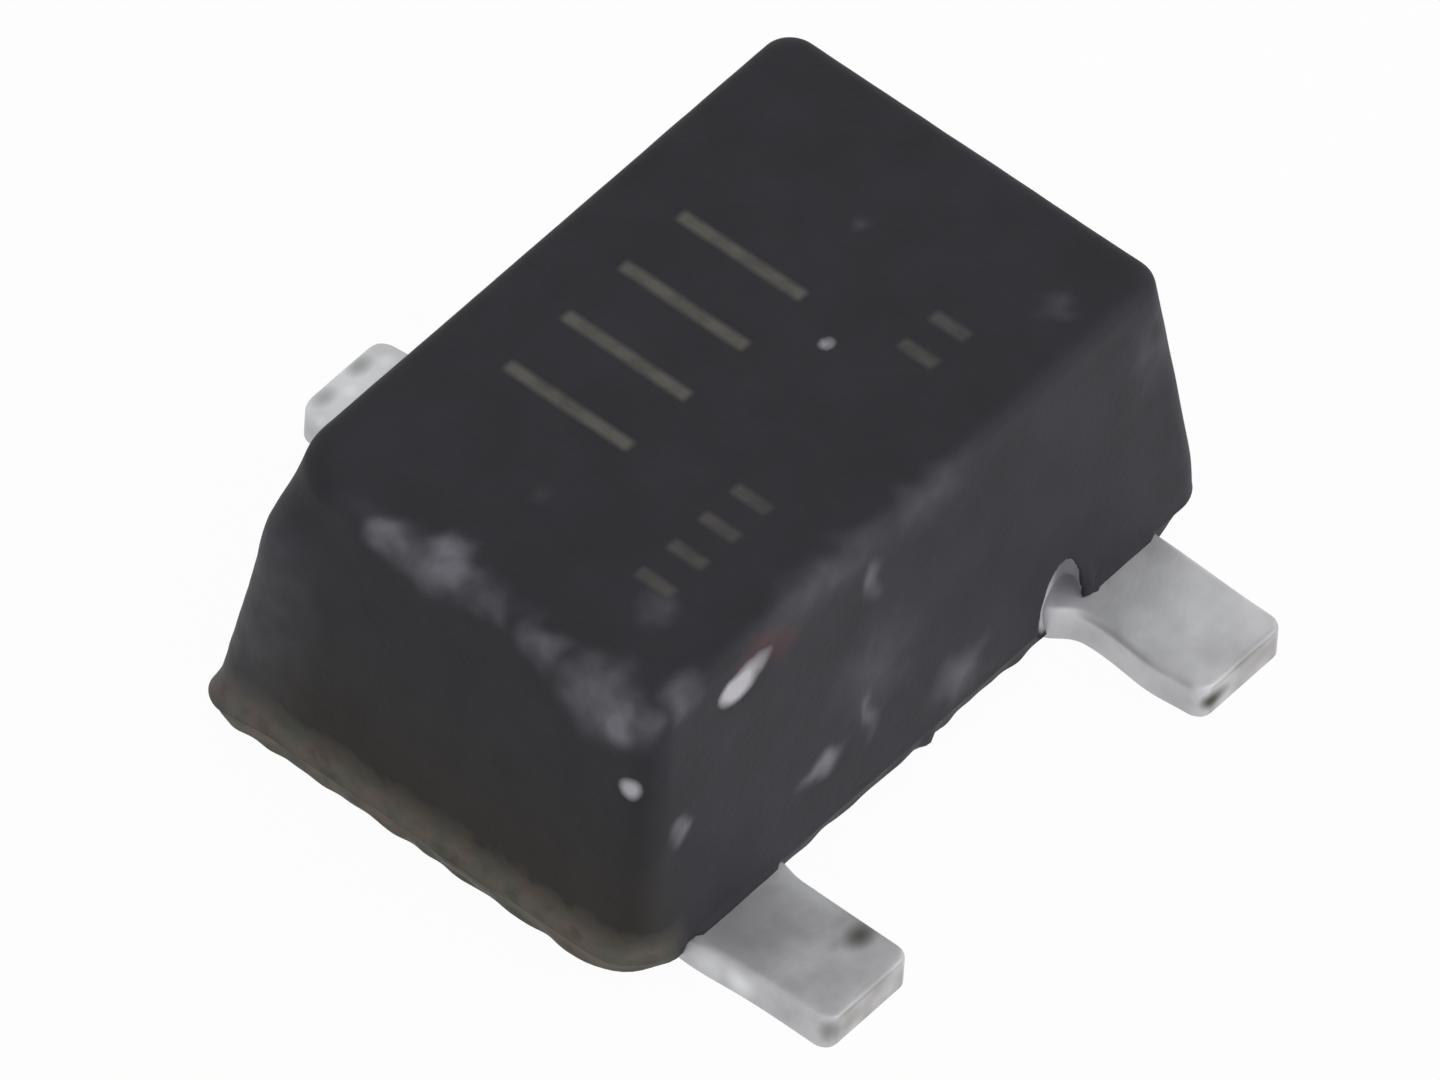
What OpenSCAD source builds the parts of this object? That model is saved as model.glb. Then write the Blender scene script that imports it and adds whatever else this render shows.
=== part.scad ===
// Three-terminal transistor in a small moulded package with flat leads.
// z = 0 is the seating plane, under the leads. The body's long side runs along X.
// The collector lead points to +Y, the base lead (-X) and the emitter lead (+X) to -Y.
// All sizes are in millimetres and all angles in degrees.

/* [Moulded body] */
// Length of the body at the parting plane
body_l = 2.00; // [1.80:0.01:2.60]
// Width of the body at the parting plane
body_w = 1.28; // [1.22:0.01:1.80]
// Height of the top face over the seating plane
body_h = 0.86; // [0.75:0.01:1.40]
// Gap between the seating plane and the body's underside
stand_off = 0.01; // [0.005:0.001:0.03]
// Draft of the two end walls over the parting plane
end_draft = 8.6; // [3:0.1:12]
// Draft of the two long walls over the parting plane
side_draft = 6.2; // [3:0.1:12]
// Draft of all four walls under the parting plane
lower_draft = 13; // [3:0.5:20]
// How far the lower mould half stands back from the upper one at the parting plane
parting_step = 0.006; // [0.003:0.001:0.02]
// Radius of the four upright corners
corner_r = 0.07; // [0.05:0.01:0.15]
// Radius along the edges of the top face
top_edge_r = 0.04; // [0.02:0.005:0.08]
// Radius along the edges of the underside
bottom_edge_r = 0.025; // [0.01:0.005:0.04]

/* [Leads] */
// Thickness of the stamped strip, which is also the height of the parting plane
strip_t = 0.10; // [0.08:0.01:0.16]
// Width of each lead
lead_w = 0.29; // [0.20:0.01:0.36]
// Distance between the middles of the base lead and the emitter lead
lead_pitch = 1.31; // [1.00:0.01:1.50]
// How far the collector lead stands off the middle of its wall, along X
collector_x = -0.07; // [-0.10:0.01:0.10]
// How far each lead stands out of the body
lead_reach = 0.39; // [0.20:0.005:0.60]
// How far the cut dam bar stands out on each side of a lead, next to the body
dam_out = 0.01; // [0.005:0.001:0.02]
// Width of the cut dam bar, along the lead
dam_w = 0.10; // [0.05:0.01:0.12]
// Radius of the two corners of a lead's tip
tip_r = 0.03; // [0.01:0.005:0.06]
// Flat length of a lead inside the wall, before it rises
wall_cover = 0.06; // [0.03:0.01:0.08]
// How far the strip rises inside the body
inner_rise = 0.15; // [0.12:0.01:0.17]
// Slope of the rising stretch
rise_slope = 45; // [40:1:60]
// Inside radius of each bend
bend_inner_r = 0.02; // [0.01:0.005:0.04]

/* [Die paddle and posts] */
// Width of the die paddle, which is one piece with the collector lead
paddle_w = 0.72; // [0.66:0.01:1.00]
// How far the paddle reaches past the far side of the die
paddle_margin = 0.07; // [0.04:0.01:0.12]
// Distance between the rising stretch of the collector lead and the die
die_set_back = 0.06; // [0.03:0.01:0.10]
// Gap between the paddle and the two posts
post_gap = 0.11; // [0.08:0.01:0.16]
// Width of the post at the inner end of the base lead and of the emitter lead
post_w = 0.49; // [0.40:0.01:0.55]
// Radius of the corners of the paddle and the posts
post_corner_r = 0.02; // [0.01:0.005:0.03]
// Diameter of the resin lock hole in each post and of the two in the paddle
lock_hole_d = 0.08; // [0.05:0.01:0.10]

/* [Die] */
// Side of the square silicon die
die_side = 0.30; // [0.20:0.01:0.36]
// Thickness of the die
die_t = 0.12; // [0.08:0.01:0.16]
// Thickness of the die attach layer
attach_t = 0.015; // [0.010:0.001:0.025]
// How far the die attach shows round the die
attach_margin = 0.01; // [0.005:0.001:0.02]
// Distance of each bond pad from the middle of the die, along X
pad_x = 0.075; // [0.05:0.005:0.10]
// Distance of each bond pad from the middle of the die, towards the posts
pad_y = 0.065; // [0:0.005:0.10]

/* [Bond wires] */
// Diameter of the gold wire
wire_d = 0.025; // [0.018:0.001:0.035]
// Diameter of the squashed ball on the die
ball_d = 0.065; // [0.050:0.001:0.080]
// Thickness of the squashed ball
ball_t = 0.015; // [0.010:0.001:0.020]
// Height of the cone between the ball and the wire
neck_h = 0.012; // [0.008:0.001:0.020]
// Height of the loop over the neck, at the middle of the wire
loop_h = 0.11; // [0.08:0.01:0.15]
// Radius of the loop at the middle of the wire
loop_r = 0.05; // [0.03:0.005:0.06]
// Length of the flattened stitch on the post
stitch_l = 0.06; // [0.05:0.005:0.08]
// Width of the stitch
stitch_w = 0.045; // [0.035:0.005:0.06]
// Thickness of the stitch
stitch_t = 0.008; // [0.005:0.001:0.012]

/* [Mould marks] */
// How far the thin resin lip covers the top of a lead, out from the wall
lip_reach = 0.02; // [0.01:0.005:0.06]
// Thickness of the lip at the wall
lip_root_t = 0.020; // [0.010:0.001:0.030]
// Thickness of the lip at its outer edge
lip_edge_t = 0.008; // [0.004:0.001:0.010]
// Width of the lip on the emitter lead, measured from the lead's outer side
emitter_lip_w = 0.23; // [0.15:0.01:0.28]
// Radius of the nick in the wall at the inner side of the emitter lead
nick_r = 0.065; // [0.05:0.005:0.10]
// Height of the nick over the top of the lead
nick_h = 0.15; // [0.10:0.01:0.20]
// Distance from the inner side of the lead to the middle of the nick, away from the lead
nick_aside = 0.035; // [0:0.005:0.04]
// Width of the broken-off gate on the end wall
gate_w = 0.20; // [0.10:0.01:0.30]
// How far the gate's remains stand out of the lower wall at the parting plane
gate_t = 0.016; // [0.012:0.001:0.020]
// Distance of the gate from the middle of the end wall, along Y
gate_y = -0.13; // [-0.25:0.01:0.25]
// Diameter of the ejector pin's mark in the underside
ejector_d = 0.50; // [0.30:0.01:0.60]
// Depth of the ejector pin's mark
ejector_depth = 0.012; // [0.005:0.001:0.020]
// Radius of the flash nib on the lower edge between the two leads
nib_r = 0.03; // [0.02:0.005:0.04]
// Place of the flash nib along X
nib_x = 0.04; // [-0.20:0.01:0.20]

/* [Hidden] */
$fn = 48;

resin = "#37373b";
tin = "#9d9da0";
silicon = "#5f6670";
attach_silver = "#b9bab6";
gold = "#d8a93c";

// What a cutting shape reaches past the face that it cuts
past = 0.05;

// The upper mould half stands on the parting plane, the lower one hangs from it
parting_z = strip_t;
upper_h = body_h - parting_z;
lower_h = parting_z - stand_off;
upper_foot = [body_l, body_w];
upper_head = [body_l - 2 * upper_h * tan(end_draft), body_w - 2 * upper_h * tan(side_draft)];
lower_foot = [body_l - 2 * parting_step, body_w - 2 * parting_step];
lower_head = [for (size = lower_foot) size - 2 * lower_h * tan(lower_draft)];

// A lead runs flat through the wall, rises on a slope with two bends, and is flat again
lead_x = lead_pitch / 2;
tip_y = body_w / 2 + lead_reach;
bend_r = bend_inner_r + strip_t / 2;
bend_rise = bend_r * (1 - cos(rise_slope));
slope_l = (inner_rise - 2 * bend_rise) / sin(rise_slope);
rise_run = 2 * bend_r * sin(rise_slope) + slope_l * cos(rise_slope);
plateau_y = body_w / 2 - wall_cover - rise_run;
plateau_top = strip_t + inner_rise;

// The paddle starts where the collector lead is flat again and ends past the die
die_y = plateau_y - die_set_back - die_side / 2;
paddle_end_y = die_y - die_side / 2 - paddle_margin;
post_end_y = paddle_end_y - post_gap;
post_l = plateau_y + post_end_y;
attach_side = die_side + 2 * attach_margin;
die_base_z = plateau_top + attach_t;
die_top_z = die_base_z + die_t;
paddle_hole_x = paddle_w / 2 - lock_hole_d;
paddle_hole_y = plateau_y - lock_hole_d;
post_hole_x = lead_x + lead_w / 4;

// Each wire goes from its pad on the die to the middle of its post's inner part
post_inner_x = lead_x + lead_w / 2 - post_w;
stitch_x = post_inner_x + (lead_x - lead_w / 2 - post_inner_x) / 2 + stitch_w / 2;
stitch_y = -(plateau_y - post_l / 2);
wire_base_z = die_top_z + ball_t + neck_h;

function unit(v) = v / norm(v);

// Shared shapes

// What rounding takes off a 2D corner at p, whose two sides face along angles a and b.
module round_off(p, a, b, r) {
    side_a = [cos(a), sin(a)];
    side_b = [cos(b), sin(b)];
    far = 4 * r;
    translate(p - r * (side_a + side_b) / (1 + side_a * side_b))
        difference() {
            polygon([[0, 0], far * side_a, far * (side_a + side_b), far * side_b]);
            circle(r);
        }
}

// Rectangle from corner low to corner high with four round corners.
module round_rectangle(low, high, r) {
    translate([low.x, low.y + r]) square([high.x - low.x, high.y - low.y - 2 * r]);
    translate([low.x + r, low.y]) square([high.x - low.x - 2 * r, high.y - low.y]);
    for (x = [low.x + r, high.x - r], y = [low.y + r, high.y - r])
        translate([x, y]) circle(r);
}

// Outline of a block seen along one axis: sloping sides, and round corners at the head.
module drafted_outline(foot, head, height, edge_r) {
    draft = atan2((foot - head) / 2, height);
    difference() {
        polygon([[-foot / 2, 0], [foot / 2, 0], [head / 2, height], [-head / 2, height]]);
        for (side = [0, 1])
            mirror([side, 0]) round_off([head / 2, height], draft, 90, edge_r);
    }
}

// What rounding takes off the upright corner of a drafted block at +X +Y.
// The cutter runs along the sloping edge, square to both walls.
module corner_round_off(foot, head, height, r) {
    inset = (foot - head) / 2;
    edge = unit([-inset.x, -inset.y, height]);
    end_normal = unit([height, 0, inset.x]);
    side_normal = unit([0, height, inset.y]);
    across = cross(edge, end_normal);
    turn = atan2(side_normal * across, side_normal * end_normal);
    multmatrix([
        [end_normal.x, across.x, edge.x, foot.x / 2],
        [end_normal.y, across.y, edge.y, foot.y / 2],
        [end_normal.z, across.z, edge.z, 0],
    ])
        translate([0, 0, -past]) linear_extrude(height + 3 * past) round_off([0, 0], 0, turn, r);
}

// Block on z = 0 that narrows from foot to head, with round corners and a rounded head.
module drafted_block(foot, head, height, edge_r) {
    difference() {
        intersection() {
            rotate([90, 0, 0]) linear_extrude(2 * foot.y, center = true)
                drafted_outline(foot.x, head.x, height, edge_r);
            rotate([90, 0, 90]) linear_extrude(2 * foot.x, center = true)
                drafted_outline(foot.y, head.y, height, edge_r);
        }
        for (x = [0, 1], y = [0, 1])
            mirror([x, 0, 0]) mirror([0, y, 0]) corner_round_off(foot, head, height, corner_r);
    }
}

// Side view of a bend in a strip that heads along +X, to the left for a positive angle.
module strip_bend(angle, r, t) {
    side = angle > 0 ? 0 : 1;
    turn = abs(angle);
    far = 2 * (r + t);
    mirror([0, side]) translate([0, r]) intersection() {
        difference() {
            circle(r + t / 2);
            circle(r - t / 2);
        }
        polygon([[0, 0], [0, -far], [far * tan(turn / 2), -far], far * [sin(turn), -cos(turn)]]);
    }
}

// Side view of a strip of thickness t. Each leg is [straight length, bend angle].
module strip_side(legs, r, t, first = 0) {
    if (first < len(legs)) {
        straight = legs[first][0];
        angle = legs[first][1];
        left = angle > 0 ? 1 : -1;
        translate([0, -t / 2]) square([straight, t]);
        translate([straight, 0]) {
            if (angle != 0) strip_bend(angle, r, t);
            translate(r * [sin(abs(angle)), left * (1 - cos(angle))])
                rotate(angle) strip_side(legs, r, t, first + 1);
        }
    }
}

// Leads

// The formed strip, as wide as width and centred on x = 0, with its tip at -Y.
module formed_strip(width, plateau_l) {
    translate([-width / 2, -tip_y, strip_t / 2]) rotate([90, 0, 90]) linear_extrude(width)
        strip_side([
            [lead_reach + wall_cover, rise_slope],
            [slope_l, -rise_slope],
            [plateau_l, 0],
        ], bend_r, strip_t);
}

// Plan of a lead with its tip at -Y, up to y = inner_y, with the dam bar's cut ends at the wall.
module lead_plan(x, inner_y) {
    side = lead_w / 2;
    round_rectangle([x - side, -tip_y], [x + side, inner_y], tip_r);
    round_rectangle([x - side - dam_out, -body_w / 2 - dam_w], [x + side + dam_out, -body_w / 2 + dam_w], dam_out);
}

// Base lead or emitter lead, as it lies at +X: a straight lead with its post turned inwards.
module post_lead() {
    intersection() {
        translate([lead_x, 0, 0]) formed_strip(2 * post_w, post_l);
        translate([0, 0, -past]) linear_extrude(body_h) difference() {
            union() {
                lead_plan(lead_x, post_end_y);
                round_rectangle([post_inner_x, -plateau_y], [lead_x + lead_w / 2, post_end_y], post_corner_r);
            }
            translate([post_hole_x, stitch_y]) circle(d = lock_hole_d);
        }
    }
}

module emitter_lead() {
    color(tin) post_lead();
}

module base_lead() {
    color(tin) mirror([1, 0, 0]) post_lead();
}

// Collector lead, with the die paddle at its inner end.
module collector_lead() {
    color(tin) mirror([0, 1, 0]) intersection() {
        formed_strip(2 * paddle_w, plateau_y - paddle_end_y);
        translate([0, 0, -past]) linear_extrude(body_h) difference() {
            union() {
                lead_plan(collector_x, -die_y);
                round_rectangle([-paddle_w / 2, -plateau_y], [paddle_w / 2, -paddle_end_y], post_corner_r);
            }
            for (side = [-1, 1])
                translate([side * paddle_hole_x, -paddle_hole_y]) circle(d = lock_hole_d);
        }
    }
}

// Die

module die_attach() {
    color(attach_silver) translate([0, die_y, plateau_top]) linear_extrude(attach_t)
        round_rectangle(-[1, 1] * attach_side / 2, [1, 1] * attach_side / 2, 2 * attach_margin);
}

module silicon_die() {
    color(silicon) translate([-die_side / 2, die_y - die_side / 2, die_base_z])
        cube([die_side, die_side, die_t]);
}

// Bond wires

// Level distance that a loop covers on its way down to the post at the given slope.
function loop_span(slope) =
    loop_r * (1 + sin(slope))
    + (wire_base_z - plateau_top + loop_h - loop_r * (1 - cos(slope))) / tan(slope);

// The slope at which the loop covers the span, found by halving the interval.
function loop_slope(span, low = 5, high = 85, halvings = 24) =
    halvings == 0 ? (low + high) / 2
    : loop_span((low + high) / 2) > span ? loop_slope(span, (low + high) / 2, high, halvings - 1)
    : loop_slope(span, low, (low + high) / 2, halvings - 1);

// Squashed ball on the die, with the neck that the wire rises from.
module ball_and_neck() {
    flat_r = (ball_d - ball_t) / 2;
    rotate_extrude() {
        square([flat_r, ball_t]);
        translate([flat_r, ball_t / 2]) intersection() {
            circle(d = ball_t);
            translate([0, -ball_t]) square(2 * ball_t);
        }
    }
    translate([0, 0, ball_t]) cylinder(h = neck_h, r1 = flat_r, d2 = wire_d);
}

// Wire that rises from z = 0, bends over towards +X and comes down at the slope, along a straight down_l.
module wire_loop(slope, down_l) {
    cylinder(h = loop_h - loop_r, d = wire_d);
    translate([loop_r, 0, loop_h - loop_r]) rotate([90, 0, 0]) rotate(90 - slope)
        rotate_extrude(angle = 90 + slope) translate([loop_r, 0]) circle(d = wire_d);
    translate([loop_r * (1 + sin(slope)), 0, loop_h - loop_r * (1 - cos(slope))]) rotate([0, 90 + slope, 0])
        cylinder(h = down_l, d = wire_d);
}

// Ball on the die, round neck, loop and flattened stitch, as on the emitter side at +X.
// The wire lies in an upright plane along +X until it is turned to its heading.
module bond_wire() {
    pad = [pad_x, die_y - pad_y];
    reach = [stitch_x, stitch_y] - pad;
    span = norm(reach);
    slope = loop_slope(span);
    drop = wire_base_z - plateau_top + loop_h - loop_r * (1 - cos(slope));
    translate([pad.x, pad.y, 0]) rotate(atan2(reach.y, reach.x)) {
        translate([0, 0, die_top_z]) ball_and_neck();
        intersection() {
            translate([0, 0, wire_base_z]) wire_loop(slope, (drop + wire_d) / sin(slope));
            translate([-wire_d, -wire_d, plateau_top]) cube([span + body_h, 2 * wire_d, body_h]);
        }
        translate([span, 0, plateau_top]) linear_extrude(stitch_t)
            round_rectangle([-stitch_l / 3, -stitch_w / 2], [2 * stitch_l / 3, stitch_w / 2], stitch_w / 3);
    }
}

module emitter_bond_wire() {
    color(gold) bond_wire();
}

module base_bond_wire() {
    color(gold) mirror([1, 0, 0]) bond_wire();
}

// Moulded body

// Thin resin lip on top of the lead at the -Y wall, from x = left to x = right.
module flash_lip(left, right) {
    wall_y = body_w / 2;
    root_y = wall_y - lip_root_t;
    translate([left, 0, parting_z]) rotate([90, 0, 90]) linear_extrude(right - left)
        polygon([
            [-root_y, 0],
            [-wall_y - lip_reach, 0],
            [-wall_y - lip_reach, lip_edge_t],
            [-wall_y, lip_root_t],
            [-root_y, lip_root_t],
        ]);
}

// What is left of the gate on the -X end wall, under the parting plane.
module gate_remains() {
    wall_x = lower_foot.x / 2;
    translate([0, gate_y + gate_w / 2, 0]) rotate([90, 0, 0]) linear_extrude(gate_w)
        polygon([
            [-wall_x + past, parting_z],
            [-wall_x - gate_t + parting_step, parting_z],
            [-wall_x - gate_t + parting_step, parting_z - lower_h / 2],
            [-wall_x + past, stand_off + lower_h / 6],
        ]);
}

// Small bump of flash on the lower edge of the -Y wall.
module flash_nib() {
    translate([nib_x, -lower_head.y / 2, stand_off]) cylinder(h = lower_h / 2, r = nib_r);
}

// Space with a domed roof, left by the broken-out resin beside the emitter lead.
// It shows the lead's side and first bend.
module resin_nick() {
    dome_z = strip_t + nick_h - nick_r;
    translate([lead_x - lead_w / 2 - nick_aside, -body_w / 2 + nick_r / 2, 0]) rotate_extrude() {
        translate([0, -past]) square([nick_r, past + dome_z]);
        translate([0, dome_z]) intersection() {
            circle(nick_r);
            square(nick_r);
        }
    }
}

// The resin fills every space round the leads, the die and the wires.
module moulded_body() {
    color(resin) difference() {
        union() {
            translate([0, 0, parting_z])
                drafted_block(upper_foot, upper_head, upper_h, top_edge_r);
            translate([0, 0, parting_z]) mirror([0, 0, 1])
                drafted_block(lower_foot, lower_head, lower_h, bottom_edge_r);
            flash_lip(-lead_x - lead_w / 2, -lead_x + lead_w / 2);
            flash_lip(lead_x + lead_w / 2 - emitter_lip_w, lead_x + lead_w / 2);
            gate_remains();
            flash_nib();
        }
        translate([0, 0, stand_off - past]) cylinder(h = past + ejector_depth, d = ejector_d);
        resin_nick();
        collector_lead();
        base_lead();
        emitter_lead();
        die_attach();
        silicon_die();
        base_bond_wire();
        emitter_bond_wire();
    }
}

moulded_body();
collector_lead();
base_lead();
emitter_lead();
silicon_die();
die_attach();
base_bond_wire();
emitter_bond_wire();
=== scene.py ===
import bpy
import numpy as np
from bpy.props import FloatProperty, FloatVectorProperty, PointerProperty
from mathutils import Matrix, Vector


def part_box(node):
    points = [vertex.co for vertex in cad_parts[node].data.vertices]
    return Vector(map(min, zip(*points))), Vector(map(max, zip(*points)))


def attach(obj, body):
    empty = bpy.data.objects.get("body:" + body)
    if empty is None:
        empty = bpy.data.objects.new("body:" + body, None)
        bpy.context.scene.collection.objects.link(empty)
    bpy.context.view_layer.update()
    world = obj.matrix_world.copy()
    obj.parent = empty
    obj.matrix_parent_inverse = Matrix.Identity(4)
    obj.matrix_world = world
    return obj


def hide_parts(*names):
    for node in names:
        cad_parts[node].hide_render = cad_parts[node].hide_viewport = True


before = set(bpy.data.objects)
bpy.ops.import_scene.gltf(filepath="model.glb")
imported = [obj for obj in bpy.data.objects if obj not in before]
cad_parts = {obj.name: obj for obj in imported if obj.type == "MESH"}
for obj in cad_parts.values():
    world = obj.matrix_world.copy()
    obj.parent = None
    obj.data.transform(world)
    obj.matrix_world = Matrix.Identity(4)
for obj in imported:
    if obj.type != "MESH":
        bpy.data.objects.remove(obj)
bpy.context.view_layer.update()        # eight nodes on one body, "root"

# A small moulded transistor with three flat leads, on a pale studio floor.
# X runs along the body, Y across it to the collector lead, and Z up from the seating plane.
# Lengths are in metres, written as so many times MM, and tables of places are in millimetres.

bl_info = {
    "name": "Moulded Transistor",
    "version": (1, 0, 0),
    "blender": (4, 5, 0),
    "location": "3D View > Sidebar > Transistor",
    "description": "Makes the finished surfaces of a small moulded transistor with flat leads",
    "category": "Add Mesh",
}

MM = 0.001
BODY_LOW, BODY_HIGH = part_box("moulded_body")
BASE_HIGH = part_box("base_lead")[1]
PADDLE_LOW, PADDLE_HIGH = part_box("collector_lead")

# Overall sizes, taken from the frame
BODY_L = 2 * BODY_HIGH.x
BODY_W = 2 * BODY_HIGH.y
BODY_H = BODY_HIGH.z
STAND_OFF = BODY_LOW.z
TIP_Y = PADDLE_HIGH.y

# How finely the body is drawn, in points along a ring and rows from the underside up
END_POINTS = 96
SIDE_POINTS = 150
CORNER_POINTS = 12
FOOT_ROWS = 8
FOOT_EDGE_ROWS = 6
WALL_ROWS = 72
TOP_EDGE_ROWS = 9
TOP_FACE_ROWS = 44
UNDERSIDE_ROWS = 12
PIN_EDGE_ROWS = 9
PIN_FACE_ROWS = 7

# How finely a lead is drawn, in points along a ring and rows from the tip inwards
THICKNESS_POINTS = 10
WIDTH_POINTS = 36
EDGE_POINTS = 7
TIP_ROWS = 8
FLAT_ROWS = 60
BEND_ROWS = 10
WIDENING_ROWS = 9
PLATEAU_ROWS = 14


# Properties

def linear(hex_colour):
    """Linear colour, with an alpha of 1, of an sRGB hex value such as "#37373b"."""
    shares = [int(hex_colour[k:k + 2], 16) / 255 for k in (1, 3, 5)]
    return [s / 12.92 if s <= 0.04045 else ((s + 0.055) / 1.055) ** 2.4 for s in shares] + [1.0]


def length(name, millimetres, description):
    """A length property with its default in millimetres."""
    return FloatProperty(name=name, description=description, default=millimetres * MM,
                         unit="LENGTH", precision=6)


def angle(name, degrees, description):
    """An angle property with its default in degrees."""
    return FloatProperty(name=name, description=description, default=np.radians(degrees), unit="ROTATION")


def share(name, value, description):
    """A share property, from 0 to 1."""
    return FloatProperty(name=name, description=description, default=value, min=0, max=1, subtype="FACTOR")


def colour(name, hex_colour, description):
    """A colour property. Its default is an sRGB hex value."""
    return FloatVectorProperty(name=name, description=description, default=linear(hex_colour), size=4,
                               min=0, max=1, subtype="COLOR")


class BodySizes(bpy.types.PropertyGroup):
    """Sizes of the moulded body"""
    parting_z: length("Parting height", 0.10, "Height of the parting plane")
    parting_step: length("Parting step", 0.006, "How far the lower mould half stands back")
    end_draft: angle("End draft", 8.6, "Lean of the two end walls")
    side_draft: angle("Side draft", 6.2, "Lean of the two long walls")
    foot_draft: angle("Foot draft", 13, "Lean of all walls under the parting plane")
    corner_r: length("Corner radius", 0.07, "Radius of the upright corners")
    top_edge_r: length("Top edge radius", 0.045, "Radius along the edges of the top face")
    foot_edge_r: length("Foot edge radius", 0.025, "Radius along the edges of the underside")
    flash_ridge: length("Flash ridge", 0.0015, "Height of the ridge on the parting line")
    foot_waves: length("Foot waves", 0.0048, "Height of the ragged foot's waves")
    lip_reach: length("Lip reach", 0.013, "How far resin creeps out over the leads")
    emitter_lip_w: length("Emitter lip width", 0.23, "Width of the resin lip on the emitter lead")
    nick_r: length("Nick half width", 0.074, "Half the nick's width")
    nick_h: length("Nick height", 0.155, "Height of the nick over the lead's top")
    nick_foot: length("Nick foot", 0.11, "Reach of the nick under the lead's top")
    nick_aside: length("Nick place", 0.043, "Distance of the nick's middle from the lead")
    nick_depth: length("Nick depth", 0.07, "Depth of the nick in the wall")
    nick_turn: angle("Nick turn", 52, "Turn of the nick towards the lead")
    gate_w: length("Gate width", 0.20, "Width of the broken-off gate")
    gate_t: length("Gate depth", 0.010, "How far the gate's remains stand out")
    gate_y: length("Gate place", -0.13, "Place of the gate along the end wall")
    ejector_d: length("Ejector mark", 0.50, "Diameter of the ejector pin's mark")
    ejector_depth: length("Ejector depth", 0.012, "Depth of the ejector pin's mark")


class LeadSizes(bpy.types.PropertyGroup):
    """Sizes of the stamped and formed leads"""
    strip_t: length("Strip thickness", 0.10, "Thickness of the lead frame's strip")
    width: length("Lead width", 0.29, "Width of each lead outside the body")
    pitch: length("Lead pitch", 1.31, "Distance from base lead to emitter lead")
    collector_x: length("Collector place", -0.07, "How far the collector lead stands off the middle")
    tip_r: length("Tip corner radius", 0.04, "Radius of a tip's corners, seen from above")
    rolled_r: length("Rolled edge radius", 0.018, "Radius of the upper edges, rolled by the punch")
    burr_r: length("Burr edge radius", 0.006, "Radius of the lower edges, where the burr was")
    cut_edge_r: length("Cut edge radius", 0.010, "Radius of the tip's cut edges")
    wall_cover: length("Wall cover", 0.06, "Flat length inside the wall")
    rise_slope: angle("Rise slope", 45, "Slope of the rise inside the body")
    bend_r: length("Bend radius", 0.07, "Radius of both bends at mid-thickness")
    post_w: length("Post width", 0.49, "Width of the post at a lead's inner end")
    widening: length("Widening", 0.03, "Length over which a lead widens")


class TopMarks(bpy.types.PropertyGroup):
    """Plain laser ticks on the top face, with no lettering"""
    long_tick: length("Long tick", 0.36, "Length of the four long ticks")
    short_tick: length("Short tick", 0.10, "Length of the short ticks")
    stroke: length("Stroke width", 0.034, "Width of a laser stroke")


class FinishColours(bpy.types.PropertyGroup):
    """Colours of the finishes"""
    resin: colour("Resin", "#323237", "Clean moulding resin, bluish black")
    resin_warm: colour("Warm resin", "#33302e", "Browned resin")
    # also a painted highlight along the body's top edges
    resin_worn_and_sheen: colour("Worn resin", "#7b7a82", "Rubbed resin, where its filler shows")
    # also painted into the nick's shaded hollow as painted light
    resin_chip_and_nick_light: colour("Chipped resin", "#bcbac0", "Fresh chip with bright filler")
    resin_bled: colour("Resin bleed", "#6b6159", "Brown film of bled resin along the foot")
    resin_olive: colour("Olive bleed", "#5f6057", "Olive patches in that film")
    red_dust: colour("Red dust", "#703b36", "Reddish dust beside the chip")
    laser: colour("Laser mark", "#6c6a64", "Ashed resin in a laser stroke")
    tin: colour("Matte tin", "#c6c6c9", "Matte tin plating")
    # also the colour of a painted highlight along the base lead's far edge
    tin_bright: colour("Burnished tin", "#e6e8ea", "Tin burnished by handling")
    # also the colour of painted shade on the leads, by the base lead's root and over the tips' cut edges
    tarnish: colour("Tarnish", "#55544d", "Dark spots on the tin")
    copper_alloy: colour("Bare copper alloy", "#857d73", "Alloy bared where the tip was cut")
    silicon: colour("Silicon", "#5f6670", "Sawn silicon die")
    silver_paste: colour("Silver paste", "#b9bab6", "Cured silver-filled adhesive")
    gold: colour("Gold", "#d8a93c", "Drawn gold wire")
    floor: colour("Floor", "#f4f4f3", "Pale paper floor")


class StageSettings(bpy.types.PropertyGroup):
    """Camera, lamp, dome and floor"""
    azimuth: angle("Azimuth", -52.80, "Camera's direction round the object")
    elevation: angle("Elevation", 49.34, "Camera's height over the horizon")
    roll: angle("Roll", 3.90, "Camera's turn about its line of sight")
    distance: length("Distance", 89.75, "Camera's distance from the point it looks at")
    aim_z: length("Aim height", 0.45, "Height of the point that the camera looks at")
    aim_right: length("Aim right", 0.0121, "Framing: shift of the view to the right")
    aim_up: length("Aim up", -0.1214, "Framing: shift of the view upwards")
    lens: FloatProperty(name="Lens", description="Focal length for a 36 mm sensor", default=1000,
                        unit="CAMERA")
    floor_r: length("Floor radius", 300, "Half the width of the floor")
    floor_white: share("Floor white", 0.965, "Share of plain white in the floor that the camera sees")
    overhead: share("Overhead light", 0.40, "Brightness of the dome overhead")
    far_left: share("Light from the left", 0.80, "Brightness of the dome's rim on the -X side")
    key_distance: length("Key distance", 250, "Distance of the key lamp from the object")
    key_width: length("Key width", 200, "Width of the key lamp")
    key_power: FloatProperty(name="Key power", description="Power of the key lamp", default=0.24,
                             unit="POWER")


# Shapes

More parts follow.
